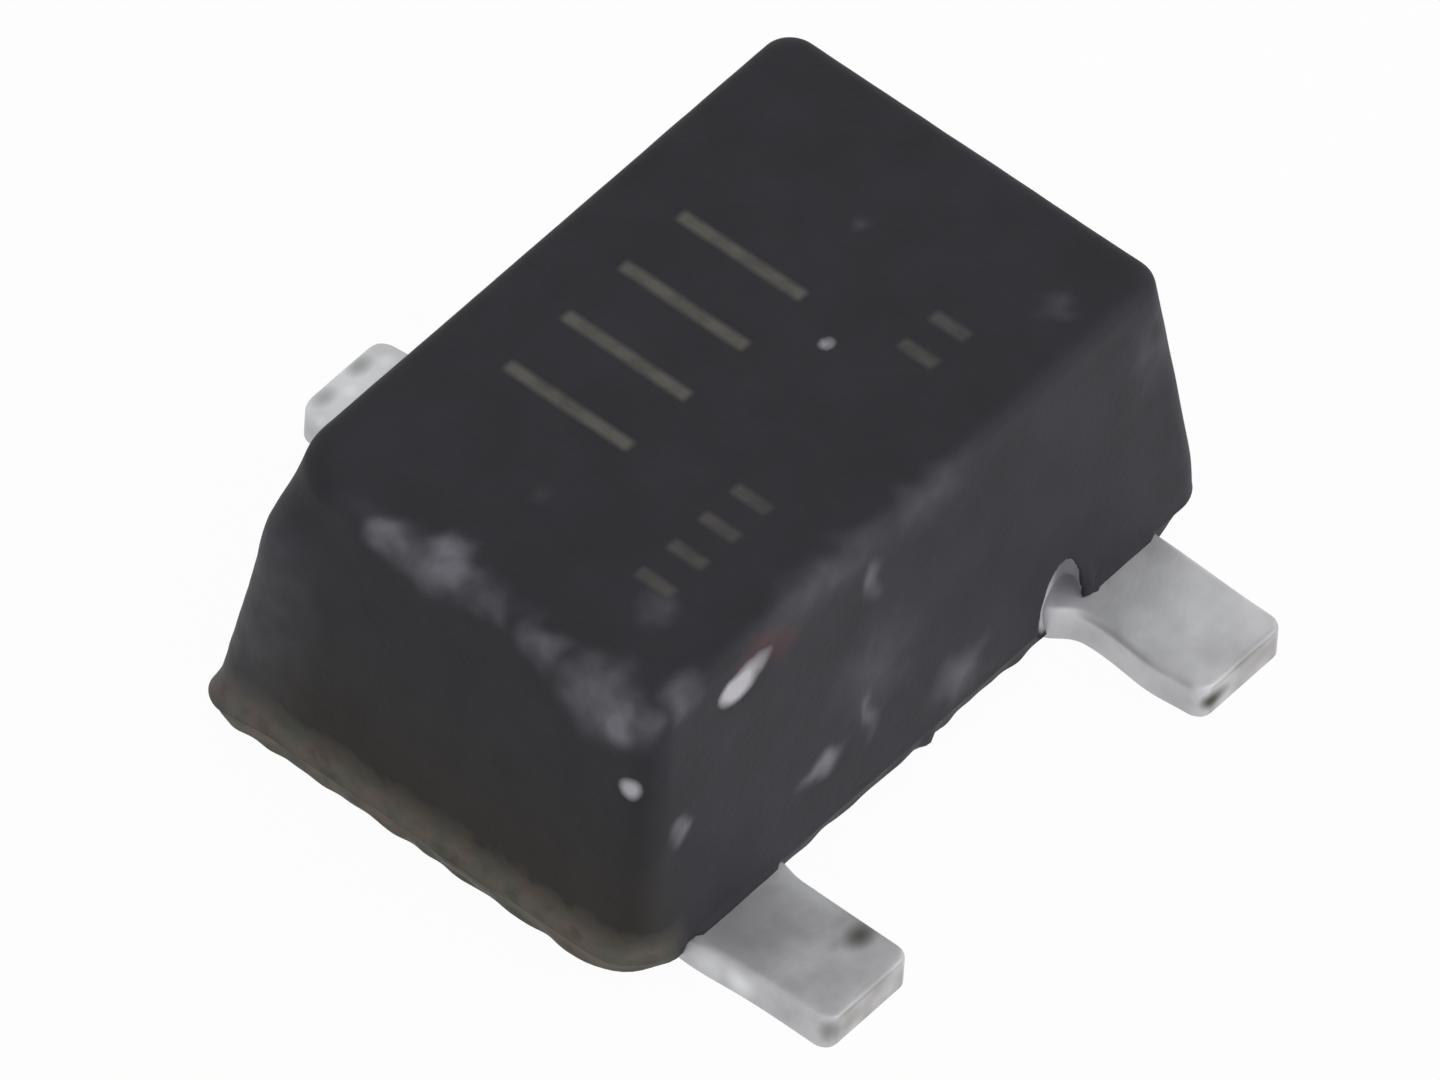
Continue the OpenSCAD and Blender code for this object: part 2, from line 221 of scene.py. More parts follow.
# Random reliefs, as (wavelength, seed)
RELIEFS = {
    "foot_edge": (0.075, 5),
    "nick_edge": (0.06, 8),
    "wander_x": (0.08, 21),
    "wander_y": (0.08, 22),
    "wander_z": (0.08, 23),
    "worn_grain": (0.05, 3),
    "body_face": (0.11, 6),
    "lead_face": (0.09, 11),
    "lead_end": (0.08, 12),
}
SOFT_EDGE = 0.02 * MM    # length over which a moulded mark's edge fades out

# How far the outlines of worn places wander, how deep worn places are, and how high the faint waves are
RUB_WANDER = 0.018 * MM
CHIP_WANDER = 0.004 * MM
RUB_DEPTH = 0.006 * MM
CHIP_DEPTH = 0.012 * MM
BODY_UNEVENNESS = 0.0006 * MM
LEAD_UNEVENNESS = 0.0005 * MM


def smooth(t):
    """Goes from 0 to 1 as t does, level at both ends: three t squared minus two t cubed."""
    t = np.clip(t, 0, 1)
    return t * t * (3 - 2 * t)


def bell(distance, half_width):
    """Bell curve of 1 at no distance: e to the power of minus the square of distance over half_width."""
    return np.exp(-(distance / half_width) ** 2)


def crowded(low, high, count, middle, half_width, factor):
    """Places from low up to high, factor times closer at the middle: equal steps of the running sum of a
    density, which is 1 plus a bell curve."""
    fine = np.linspace(low, high, 4001)
    running = np.cumsum(1 + (factor - 1) * bell(fine - middle, half_width))
    steps = np.linspace(running[0], running[-1], count, endpoint=False)
    return np.interp(steps, running, fine)


def ripples(points, name, waves=24):
    """Soft random relief between about -1 and 1: a sum of plane cosine waves in random directions."""
    wavelength, seed = RELIEFS[name]
    rng = np.random.default_rng(seed)
    heading = rng.normal(size=(waves, 3))
    heading /= np.linalg.norm(heading, axis=1, keepdims=True)
    waves_per_metre = heading / (wavelength * MM * rng.uniform(0.7, 1.6, (waves, 1)))
    phase = rng.uniform(0, 2 * np.pi, waves)
    total = np.zeros(points.shape[:-1])
    for direction, start in zip(waves_per_metre, phase):
        total += np.cos(2 * np.pi * (points @ direction) + start)
    return total / np.sqrt(2 * waves)


def spots(points, places):
    """The strongest of several soft ellipsoid spots at each point, given as (centre, half size, strength).
    Each is a smooth step of one minus the distance from its centre over its half size."""
    strongest = np.zeros(points.shape[:-1])
    for centre, half_size, strength in places.values():
        away = np.linalg.norm((points / MM - centre) / np.array(half_size), axis=-1)
        strongest = np.maximum(strongest, strength * smooth(1 - away))
    return strongest


def rounded_outline(rise, run, corner_steps):
    """Template of a closed outline of four sides and quarter arcs, anticlockwise from side +A. rise and run
    are the places along its sides, from -1 to 1. Each point has a place between the corner centres in A and
    B, and a unit normal."""
    quarter = np.linspace(0, np.pi / 2, corner_steps, endpoint=False)
    sides = []
    for turn, (out_a, out_b) in enumerate([(1, 0), (0, 1), (-1, 0), (0, -1)]):
        side = run if turn % 2 else rise
        along = np.concatenate([side, np.ones(corner_steps)])
        facing = np.concatenate([np.zeros(len(side)), quarter]) + turn * np.pi / 2
        sides.append([out_a - out_b * along, out_b + out_a * along, np.cos(facing), np.sin(facing)])
    return [np.concatenate(column) for column in zip(*sides)]


def cap(ring, shares):
    """Copies of a ring, each shrunk towards its middle by its share."""
    middle = ring.mean(0)
    return middle + (ring - middle) * (1 - shares)[:, None, None]


def closed_surface(name, rows, **attributes):
    """Mesh object of rows of closed rings, with a pole in the first and in the last. The rings run
    anticlockwise seen from the last row, so the faces point outwards."""
    count, around = rows.shape[:2]
    points = np.concatenate([rows.reshape(-1, 3), rows[[0, -1]].mean(1)])
    index = np.arange(count * around).reshape(count, around)
    beside = np.roll(index, -1, axis=1)
    quads = np.stack([index[:-1], beside[:-1], beside[1:], index[1:]], -1).reshape(-1, 4)
    foot, head = count * around, count * around + 1
    foot_fan = np.stack([beside[0], index[0], np.full(around, foot)], -1)
    head_fan = np.stack([index[-1], beside[-1], np.full(around, head)], -1)
    mesh = bpy.data.meshes.new(name)
    mesh.from_pydata(points, [], quads.tolist() + foot_fan.tolist() + head_fan.tolist())
    for label, values in attributes.items():
        ends = values[[0, -1]].mean(1)
        layer = mesh.attributes.new(label, "FLOAT", "POINT")
        layer.data.foreach_set("value", np.concatenate([values.ravel(), ends]).astype(np.float32))
    mesh.shade_smooth()
    piece = bpy.data.objects.new(name, mesh)
    bpy.context.scene.collection.objects.link(piece)
    return piece


def finish_piece(piece, node, material):
    """Gives a new piece its material and lets it stand for its CAD node."""
    piece.data.materials.append(material)
    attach(piece, "root")
    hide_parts(node)


# Moulded body

# Ridges that run round the walls, as (height over the parting plane, half width) of a bell curve
RIDGES = {
    "flash": (0, 0.006),
    "gate": (-0.02, 0.028),
    "lips": (0.004, 0.01),
}
# Places rubbed grey or dusty, and painted highlights along the top edges, as (centre, half size, strength)
RUBBED_AND_EDGE_SHEEN = {
    # the end's rounded top edge: partly rubbed, partly a painted highlight where the edge catches the light
    "end_edge_long": ((-0.872, 0.11, 0.853), (0.085, 0.33, 0.075), 0.55),
    "end_edge_far": ((-0.885, 0.245, 0.858), (0.07, 0.11, 0.075), 1.1),
    "end_edge_middle": ((-0.86, 0.085, 0.848), (0.11, 0.12, 0.095), 1.2),
    "end_edge_tail": ((-0.875, -0.06, 0.85), (0.055, 0.11, 0.055), 0.45),
    "end_edge_near": ((-0.885, -0.215, 0.84), (0.055, 0.1, 0.09), 0.8),
    "corner_end": ((-0.885, -0.4, 0.8), (0.105, 0.17, 0.15), 0.85),
    "corner_low": ((-0.9, -0.462, 0.782), (0.07, 0.08, 0.09), 1.45),
    "corner_tip": ((-0.89, -0.5, 0.8), (0.06, 0.08, 0.1), 0.55),
    "corner_top": ((-0.79, -0.55, 0.85), (0.1, 0.07, 0.08), 0.5),
    # the long side's rounded top edge: partly rubbed, partly a painted highlight
    "side_edge_near": ((-0.33, -0.565, 0.85), (0.34, 0.08, 0.13), 0.28),
    "side_edge_far": ((0.06, -0.565, 0.82), (0.2, 0.06, 0.12), 0.22),
    "side_far_patch": ((0.84, -0.585, 0.66), (0.14, 0.06, 0.18), 0.2),
    "side_streak": ((-0.142, -0.578, 0.705), (0.042, 0.05, 0.1), 0.62),
    "side_low_streak": ((-0.185, -0.612, 0.31), (0.04, 0.05, 0.11), 0.62),
    "side_low_patch": ((-0.15, -0.605, 0.43), (0.2, 0.06, 0.2), 0.22),
    "side_foot_patch": ((0.13, -0.628, 0.18), (0.13, 0.06, 0.11), 0.55),
    "side_oval": ((-0.34, -0.62, 0.275), (0.09, 0.05, 0.055), 1.2),
    "side_speck": ((-0.83, -0.6, 0.458), (0.058, 0.06, 0.045), 1.0),
    "end_haze": ((-0.96, 0.64, 0.4), (0.32, 0.33, 0.56), 0.42),
    "top_dust_far": ((0.532, 0.052, 0.86), (0.05, 0.05, 0.03), 0.25),
    "top_dust_side": ((0.649, -0.442, 0.86), (0.06, 0.05, 0.03), 0.25),
    "top_dust_end": ((-0.564, 0.058, 0.86), (0.05, 0.05, 0.03), 0.2),
    "top_dust_corner": ((-0.64, -0.35, 0.86), (0.08, 0.06, 0.03), 0.3),
}
# Fresh chips, where bright filler shows
CHIPPED = {
    "side_chip_deep": ((-0.614, -0.571, 0.74), (0.112, 0.09, 0.07), 1.0),
    "side_chip_tail": ((-0.57, -0.568, 0.76), (0.15, 0.09, 0.07), 0.6),
    "corner_chip": ((-0.922, -0.522, 0.617), (0.066, 0.055, 0.058), 0.85),
    "top_speck": ((0.212, -0.129, 0.86), (0.046, 0.046, 0.03), 0.65),
}
NICK_FILLER_AND_LIGHT = 0.9         # how pale the nick's broken surface is painted: bared filler, and painted light that lifts the shade in its hollow
# Reddish dust at the chip on the long side
REDDENED = {
    "chip_edge": ((-0.55, -0.562, 0.805), (0.115, 0.05, 0.055), 0.58),
    "chip_tail": ((-0.47, -0.57, 0.762), (0.11, 0.05, 0.055), 0.32),
}
# Upright corners worn rounder, as (X and Y side, height of the most wear, its reach, extra radius)
WORN_CORNERS = {
    "chipped_foot": ((-1, -1), 0.01, 0.16, 0.1),
    "far_head": ((-1, 1), 0.86, 0.17, 0.1),
    "side_foot": ((1, -1), 0.03, 0.12, 0.04),
}
# Resin that stands out of the walls, as (centre, half size, height)
RAISED = {
    "tongue": ((0.568, -0.64, 0.13), (0.034, 0.06, 0.08), 0.016),
    "nib": ((0.036, -0.64, 0.01), (0.042, 0.08, 0.07), 0.024),
    "corner_flash": ((-1.0, 0.6, 0.08), (0.2, 0.16, 0.09), 0.02),
    "corner_swelling": ((-0.93, 0.56, 0.67), (0.14, 0.14, 0.2), 0.018),
}


def wall_profile(rise, draft, edge_r, wall_z, arc_rows):
    """Insets and heights of half a drafted block over its foot: a straight wall that leans in by the draft,
    then an arc tangent to it and to the flat head. wall_z are the rows' shares of the straight height."""
    centre_z = rise - edge_r
    centre_inset = centre_z * np.tan(draft) + edge_r / np.cos(draft)
    turn = np.linspace(draft, np.pi / 2, arc_rows)
    straight_z = wall_z * (centre_z + edge_r * np.sin(draft))
    insets = np.concatenate([straight_z * np.tan(draft), centre_inset - edge_r * np.cos(turn)])
    heights = np.concatenate([straight_z, centre_z + edge_r * np.sin(turn)])
    return insets, heights


def wall_columns(sizes):
    """Insets and heights of the rows up the walls, once for the end walls and once for the long walls: from
    the underside over the foot and the parting step to the top face, crowded at the nick's height."""
    foot_wall = np.linspace(0, 1, FOOT_ROWS, endpoint=False)
    upper_wall = crowded(0, 1, WALL_ROWS, middle=0.12, half_width=0.12, factor=2)
    foot_h = sizes.parting_z - STAND_OFF
    foot_in, foot_z = wall_profile(foot_h, sizes.foot_draft, sizes.foot_edge_r, foot_wall, FOOT_EDGE_ROWS)
    columns = []
    for draft in (sizes.end_draft, sizes.side_draft):
        upper_h = BODY_H - sizes.parting_z
        upper_in, upper_z = wall_profile(upper_h, draft, sizes.top_edge_r, upper_wall, TOP_EDGE_ROWS)
        inset = np.concatenate([foot_in[::-1] + sizes.parting_step, upper_in])
        height = np.concatenate([-foot_z[::-1], upper_z]) + sizes.parting_z
        columns.append((inset[:, None], height[:, None]))
    return columns


def worn_radius(corner_r, place_x, place_y, height):
    """Radius of the upright corners at each ring point: corner_r, and more near the worn corners, by a bell
    curve of the height times the share of the way to that corner."""
    radius = corner_r
    for (side_x, side_y), most_z, reach, extra_r in WORN_CORNERS.values():
        nearness = (1 + side_x * place_x) * (1 + side_y * place_y) / 4
        radius = radius + extra_r * MM * nearness * bell(height - most_z * MM, reach * MM)
    return radius


def underside_rows(ring, pin_r):
    """Rows of the underside inwards: its outline turns evenly into a circle just outside the ejector pin's
    mark, and circles shrink from there, close together across the mark's edge."""
    middle = np.array([0, 0, ring[:, 2].mean()])
    heading = ring - middle
    heading /= np.linalg.norm(heading, axis=-1, keepdims=True)
    across_edge = np.linspace(1.02, 0.90, PIN_EDGE_ROWS)
    inside = np.linspace(0.80, 0.05, PIN_FACE_ROWS)
    radii = pin_r * np.concatenate([across_edge, inside])
    circles = middle + heading * radii[:, None, None]
    shares = np.linspace(0, 1, UNDERSIDE_ROWS + 2)[1:-1]
    turning = ring + (circles[0] - ring) * shares[:, None, None]
    return np.concatenate([turning, circles])


def nick_middle(sizes, leads):
    """Place of the nick's middle in X, beside the inner side of the emitter lead."""
    return (leads.pitch - leads.width) / 2 - sizes.nick_aside


def body_rows(sizes, leads):
    """The body as rows of closed rings, from underside to top face. A ring point is a place between the
    corner centres plus the corner radius times its normal. Points crowd at the nick, for a crisp edge."""
    nick_place = nick_middle(sizes, leads) / (BODY_L / 2 - sizes.corner_r)
    rise = np.linspace(-1, 1, END_POINTS, endpoint=False)
    run = crowded(-1, 1, SIDE_POINTS, middle=nick_place, half_width=0.10, factor=4)
    place_x, place_y, normal_x, normal_y = rounded_outline(rise, run, CORNER_POINTS)
    (end_in, end_z), (side_in, side_z) = wall_columns(sizes)
    radius = worn_radius(sizes.corner_r, place_x, place_y, end_z)
    x = place_x * (BODY_L / 2 - end_in - radius) + radius * normal_x
    y = place_y * (BODY_W / 2 - side_in - radius) + radius * normal_y
    z = end_z * normal_x ** 2 + side_z * normal_y ** 2
    walls = np.stack([x, y, z], -1)
    underside = underside_rows(walls[0], sizes.ejector_d / 2)[::-1]
    top_face = cap(walls[-1], np.linspace(0, 1, TOP_FACE_ROWS + 2)[1:-1])
    return np.concatenate([underside, walls, top_face])


def outward(points, sharpness=24):
    """Level unit direction out of the walls. X and Y count with a high power of their share of the half
    size, so that it turns only at the corners."""
    reach = np.abs(points[..., :2]) / np.array([BODY_L / 2, BODY_W / 2])
    heading = np.sign(points[..., :2]) * reach ** sharpness
    size = np.linalg.norm(heading, axis=-1, keepdims=True)
    return np.concatenate([heading / np.maximum(size, 1e-6), np.zeros(size.shape)], -1)


def lip_share(x, sizes, leads):
    """1 where a resin lip lies on a -Y lead and 0 beside it: a smooth step at the lip's ends."""
    emitter_lip_x = (leads.pitch + leads.width - sizes.emitter_lip_w) / 2
    base_lip = leads.width / 2 - np.abs(x + leads.pitch / 2)
    emitter_lip = sizes.emitter_lip_w / 2 - np.abs(x - emitter_lip_x)
    return smooth(np.maximum(base_lip, emitter_lip) / (0.75 * SOFT_EDGE))


def add_mould_marks(points, sizes, leads):
    """Moves wall points out by the parting ridge, gate, lips, raised places and ragged foot, and presses
    the ejector pin's mark up into the underside."""
    x, y, z = np.moveaxis(points, -1, 0)
    up = z - sizes.parting_z
    ridge = {name: bell(up - place * MM, half * MM) for name, (place, half) in RIDGES.items()}
    gate = smooth((sizes.gate_w / 2 - np.abs(y - sizes.gate_y)) / SOFT_EDGE) * (x < 0)
    lips = lip_share(x, sizes, leads) * (y < 0)
    near_foot = bell(z - STAND_OFF, sizes.parting_z / 2)
    out = sizes.flash_ridge * ridge["flash"]
    out += sizes.gate_t * gate * ridge["gate"]
    out += sizes.lip_reach * lips * ridge["lips"]
    out += spots(points, RAISED) * MM
    out += sizes.foot_waves * ripples(points, "foot_edge") * near_foot
    points = points + outward(points) * out[..., None]
    on_underside = z < STAND_OFF + 0.001 * MM
    pressed = smooth((sizes.ejector_d / 2 - np.hypot(x, y)) / SOFT_EDGE) * on_underside
    points[..., 2] += sizes.ejector_depth * pressed
    return points


def break_out_nick(points, sizes, leads):
    """Pushes the wall in along a slant, so that the nick undercuts the resin over the lead. The depth is
    nick_depth times the root of one minus two squares: of the place aside over nick_r, and of the height
    from the lead's top over nick_h or nick_foot. Returns the points, and where the surface is broken."""
    x, y, z = np.moveaxis(points, -1, 0)
    slant = np.tan(sizes.nick_turn)
    in_wall = y + BODY_W / 2
    aside = (x - slant * in_wall - nick_middle(sizes, leads)) / sizes.nick_r
    from_lead = z - leads.strip_t
    upright = from_lead / np.where(from_lead > 0, sizes.nick_h, sizes.nick_foot)
    ragged = 1 + 0.05 * ripples(points, "nick_edge")
    depth = sizes.nick_depth * np.sqrt(np.clip(ragged - aside ** 2 - upright ** 2, 0, None))
    push = np.where(depth > 0, np.clip(depth - in_wall, 0, None), 0)
    points[..., 0] += slant * push
    points[..., 1] += push
    return points, smooth(push / SOFT_EDGE)


def add_wear(points):
    """Sinks the rubbed places, the painted highlights along the top edges and the chipped places, whose
    outlines wander by a slow random shift, in a faintly uneven surface. Returns the points, and how rubbed,
    with the painted edge highlights, how chipped and how reddened each of them is."""
    wander = np.stack([ripples(points, name) for name in ("wander_x", "wander_y", "wander_z")], -1)
    wandered = points + RUB_WANDER * wander
    rubbed, reddened = spots(wandered, RUBBED_AND_EDGE_SHEEN), spots(wandered, REDDENED)
    chipped = spots(points + CHIP_WANDER * wander, CHIPPED)
    core = np.array([0, 0, 0.4 * BODY_H])
    inward = core - points
    inward /= np.linalg.norm(inward, axis=-1, keepdims=True)
    grain = 0.6 + 0.4 * ripples(points, "worn_grain")
    depth = (RUB_DEPTH * rubbed + CHIP_DEPTH * chipped) * grain
    depth += BODY_UNEVENNESS * ripples(points, "body_face")
    return points + inward * depth[..., None], rubbed, chipped, reddened


class TRANSISTOR_OT_body(bpy.types.Operator):
    """Make the moulded body with its mould marks and wear"""
    bl_idname = "transistor.body"
    bl_label = "Moulded Body"

    def execute(self, context):
        sizes, leads = context.scene.body_sizes, context.scene.lead_sizes
        points = add_mould_marks(body_rows(sizes, leads), sizes, leads)
        points, broken = break_out_nick(points, sizes, leads)
        points, rubbed, chipped, reddened = add_wear(points)
        # the chipped attribute also carries painted light: the nick's shaded hollow painted pale
        chipped_and_nick_light = np.maximum(chipped, NICK_FILLER_AND_LIGHT * broken)
        body = closed_surface("body_surface", points, rubbed=rubbed, reddened=reddened, chipped=chipped_and_nick_light)
        finish_piece(body, "moulded_body", moulded_epoxy(context.scene))
        return {"FINISHED"}


# Leads

# Dark spots on the plating, and painted shade on it, as (centre, half size, strength)
TARNISH_AND_PAINTED_SHADE = {
    "base_spot": ((-0.553, -0.912, 0.1), (0.082, 0.055, 0.04), 0.64),
    "base_spot_tail": ((-0.61, -0.89, 0.1), (0.06, 0.035, 0.04), 0.2),
    # painted shade: the base lead's top darkened near the body's wall, where the wall shades it
    "base_root": ((-0.7, -0.74, 0.1), (0.24, 0.22, 0.06), 0.25),
    "base_tip_corner": ((-0.8, -1.03, 0.06), (0.07, 0.05, 0.07), 0.5),
    # painted shade: the cut edges of the base and emitter tips darkened to dull their highlight
    "base_tip_edge_shade": ((-0.64, -1.03, 0.096), (0.28, 0.03, 0.02), 0.34),
    "emitter_tip_edge_shade": ((0.68, -1.03, 0.096), (0.28, 0.03, 0.02), 0.34),
    "emitter_tip_bar": ((0.53, -1.034, 0.05), (0.1, 0.03, 0.045), 0.85),
    "collector_left": ((-0.153, 1.006, 0.1), (0.07, 0.045, 0.04), 0.35),
    "collector_right": ((-0.028, 1.008, 0.1), (0.07, 0.045, 0.04), 0.4),
}
# Burnished spots on the plating, and a painted highlight on it
BURNISH_AND_PAINTED_HIGHLIGHT = {
    "collector_top": ((-0.09, 0.985, 0.1), (0.3, 0.18, 0.06), 0.66),
    "emitter_top": ((0.65, -0.8, 0.1), (0.3, 0.3, 0.06), 0.35),
    "collector_middle": ((-0.099, 0.974, 0.1), (0.06, 0.05, 0.04), 1.0),
    "collector_right": ((0.022, 0.973, 0.1), (0.06, 0.045, 0.04), 0.8),
    "collector_left": ((-0.219, 0.969, 0.1), (0.07, 0.04, 0.04), 0.8),
    # painted highlight: the sheen of the base lead's rolled far edge, painted as burnished tin
    "base_far_edge_highlight": ((-0.515, -0.73, 0.1), (0.06, 0.16, 0.06), 1.0),
    "base_side": ((-0.8, -0.775, 0.045), (0.05, 0.06, 0.05), 0.9),
    "base_root": ((-0.8, -0.69, 0.05), (0.05, 0.06, 0.06), 0.5),
}
# Swellings of the leads' sides, as (side, height, distance out from the wall, half length). Side -1 is
# nearer -X on the emitter and collector leads and nearer +X on the base lead.
SWELLINGS = {
    "base_lead": [(-1, 0.012, 0, 0.04), (1, 0.012, 0, 0.12)],
    "emitter_lead": [(-1, 0.05, -0.045, 0.05), (-1, 0.012, 0.24, 0.09), (1, 0.01, 0, 0.2)],
    "collector_lead": [(1, 0.02, 0.2, 0.1)],
}


def strip_path(leads):
    """Middle of the strip from the tip inwards, as Y, Z and tilt: flat, an arc up, a slope, an arc back and
    flat. The tip points to -Y."""
    slope, radius = leads.rise_slope, leads.bend_r
    rise = BASE_HIGH.z - leads.strip_t
    foot_z, head_z = leads.strip_t / 2, rise + leads.strip_t / 2
    first_y = -BODY_W / 2 + leads.wall_cover
    slope_l = (rise - 2 * radius * (1 - np.cos(slope))) / np.sin(slope)
    last_y = first_y + 2 * radius * np.sin(slope) + slope_l * np.cos(slope)
    turn = np.linspace(0, slope, BEND_ROWS)
    arc_y, arc_z = radius * np.sin(turn), radius * (1 - np.cos(turn))
    tip_l = leads.tip_r * (1 - np.cos(np.linspace(0, np.pi / 2, TIP_ROWS)))
    flat_l = np.linspace(leads.tip_r, TIP_Y + first_y, FLAT_ROWS)[1:]
    tip_y = -TIP_Y + np.concatenate([tip_l, flat_l])
    y = np.concatenate([tip_y[:-1], first_y + arc_y, last_y - arc_y[::-1]])
    z = np.concatenate([np.full(len(tip_y) - 1, foot_z), foot_z + arc_z, head_z - arc_z[::-1]])
    tilt = np.concatenate([np.zeros(len(tip_y) - 1), turn, turn[::-1]])
    return y, z, tilt, last_y


def tip_rounding(from_tip, radius):
    """How far an outline stands back from its side near a rounded tip: radius minus the arc's height."""
    inside = np.clip(radius - from_tip, 0, radius)
    return radius - np.sqrt(radius ** 2 - inside ** 2)


def swelling(name, side, y):
    """How far one side of a lead swells out at each Y: a sum of bell curves."""
    out = -BODY_W / 2 - y
    return sum(height * MM * bell(out - place * MM, half_l * MM)
               for swollen, height, place, half_l in SWELLINGS[name] if swollen == side)


def lead_rows(name, leads, outer, inner, inner_y):
    """A lead as rows of closed rings from its tip, at -Y, to inner_y. outer and inner are its sides in X
    outside the body and on the plateau, and a ring is a rectangle with rounded corners."""
    y, z, tilt, plateau_y = strip_path(leads)
    widened_y = plateau_y + leads.widening * 4 / 3
    shelf = np.concatenate([np.linspace(plateau_y, widened_y, WIDENING_ROWS)[1:],
                            np.linspace(widened_y, inner_y, PLATEAU_ROWS)[1:]])
    y = np.concatenate([y, shelf])[:, None]
    z = np.concatenate([z, np.full(len(shelf), z[-1])])[:, None]
    tilt = np.concatenate([tilt, np.zeros(len(shelf))])[:, None]
    up_side = np.linspace(-1, 1, THICKNESS_POINTS, endpoint=False)
    over_top = np.linspace(-1, 1, WIDTH_POINTS, endpoint=False)
    place_a, place_b, normal_a, normal_b = rounded_outline(up_side, over_top, EDGE_POINTS)
    from_tip = y + TIP_Y
    on_plateau = smooth((y - plateau_y) / leads.widening)
    rounding = tip_rounding(from_tip, leads.tip_r)
    side_left = outer[0] + (inner[0] - outer[0]) * on_plateau - swelling(name, -1, y) + rounding
    side_right = outer[1] + (inner[1] - outer[1]) * on_plateau + swelling(name, 1, y) - rounding
    half_t = leads.strip_t / 2 - tip_rounding(from_tip, leads.cut_edge_r)
    edge_r = leads.burr_r + (leads.rolled_r - leads.burr_r) * (1 + place_b) / 2
    half_w = (side_right - side_left) / 2
    x = (side_left + side_right) / 2 + place_a * (half_w - edge_r) + edge_r * normal_a
    up = place_b * (half_t - edge_r) + edge_r * normal_b
    walls = np.stack([x, y - up * np.sin(tilt), z + up * np.cos(tilt)], -1)
    ring_shares = np.array([0.06, 0.3, 0.7])
    return np.concatenate([cap(walls[0], ring_shares)[::-1], walls, cap(walls[-1], ring_shares)])


def add_lead(scene, node, outer, inner, inner_y, mirror=(1, 1, 1)):
    """Makes a lead, mirrored or not, with a faintly uneven top, patches of bare alloy on its end face and
    spots on the plating, among them painted shade and a painted highlight."""
    leads = scene.lead_sizes
    rows = lead_rows(node, leads, outer, inner, inner_y) * mirror
    if min(mirror) < 0:
        rows = rows[::-1]
    end_starts, end_fade = TIP_Y - 0.004 * MM, 0.003 * MM
    end_face = smooth((np.abs(rows[..., 1]) - end_starts) / end_fade)
    patches = np.clip(0.5 + 0.5 * ripples(rows, "lead_end"), 0, 1)
    over_foot = smooth(rows[..., 2] / (0.8 * leads.strip_t))
    points = rows.copy()
    points[..., 2] += LEAD_UNEVENNESS * ripples(rows, "lead_face") * over_foot
    lead = closed_surface(node + "_surface", points, bare=0.6 * end_face * patches,
                          tarnished=spots(points, TARNISH_AND_PAINTED_SHADE), burnished=spots(points, BURNISH_AND_PAINTED_HIGHLIGHT))
    finish_piece(lead, node, tin_plating(scene))


class TRANSISTOR_OT_leads(bpy.types.Operator):
    """Make the three formed leads with their die paddle and posts"""
    bl_idname = "transistor.leads"
    bl_label = "Leads"

    def execute(self, context):
        leads = context.scene.lead_sizes
        half_w = leads.width / 2
        outer_side = leads.pitch / 2 + half_w
        sides = (leads.pitch / 2 - half_w, outer_side)
        post = (outer_side - leads.post_w, outer_side)
        collector = (leads.collector_x - half_w, leads.collector_x + half_w)
        paddle = (PADDLE_LOW.x, PADDLE_HIGH.x)
        add_lead(context.scene, "base_lead", sides, post, BASE_HIGH.y, mirror=(-1, 1, 1))
        add_lead(context.scene, "emitter_lead", sides, post, BASE_HIGH.y)
        add_lead(context.scene, "collector_lead", collector, paddle, -PADDLE_LOW.y, mirror=(1, -1, 1))
        return {"FINISHED"}


# Materials

# Where colours begin and are full on the body, in X for the -X end and otherwise in Z
END_STRETCH = (-0.82, -0.95)
BROWN_STRETCH = (0.65, 0.25)
FILM_STRETCH = (0.258, 0.182)
FILM_WAVES = 0.09    # how far the film's upper edge wanders
# Rows of laser ticks, as (middle in X and Y, pitch, count)
LONG_TICKS = ((-0.02, 0.18), 0.20, 4)
SHORT_TICKS = [((-0.42, -0.30), 0.11, 4), ((0.38, -0.30), 0.11, 2)]


def add_node(tree, kind, inputs=(), **settings):
    """Adds one node and returns its outputs. settings are the node's own properties, and inputs gives its
    sockets values or links, in order or by name."""
    node = tree.nodes.new("ShaderNode" + kind)
    for name, value in settings.items():
        setattr(node, name, value)
    named = inputs if isinstance(inputs, dict) else dict(enumerate(inputs))
    for socket, value in named.items():
        if isinstance(value, bpy.types.NodeSocket):
            tree.links.new(value, node.inputs[socket])
        else:
            node.inputs[socket].default_value = value
    return node.outputs


def new_material(name):
    """An empty node material, its tree and Object coordinates in millimetres. A pattern's scale is 1 over
    its size in millimetres."""
    material = bpy.data.materials.new(name)
    material.use_nodes = True
    tree = material.node_tree
    tree.nodes.clear()
    place = add_node(tree, "TexCoord")["Object"]
    where = add_node(tree, "Mapping", {"Vector": place, "Scale": (1 / MM, 1 / MM, 1 / MM)})[0]
    return material, tree, where


def shade(tone, factor):
    """The colour made brighter or darker by a factor."""
    return [*(factor * part for part in tone[:3]), 1]


def add_surface(tree, tone, relief, depth, look):
    """Ends a material with a surface of the tone, with a relief of the depth in millimetres."""
    normal = add_node(tree, "Bump", {"Height": relief, "Distance": depth * MM})[0]
    shader = add_node(tree, "BsdfPrincipled", {"Base Color": tone, "Normal": normal, **look})
    add_node(tree, "OutputMaterial", {"Surface": shader[0]})


def add_patterned(tree, pattern, low, high, depth, look):
    """Ends a material with a surface that a pattern raises and takes from the low to the high colour."""
    tone = add_node(tree, "Mix", {"Factor": pattern, "A": low, "B": high}, data_type="RGBA")["Result"]
    add_surface(tree, tone, pattern, depth, look)


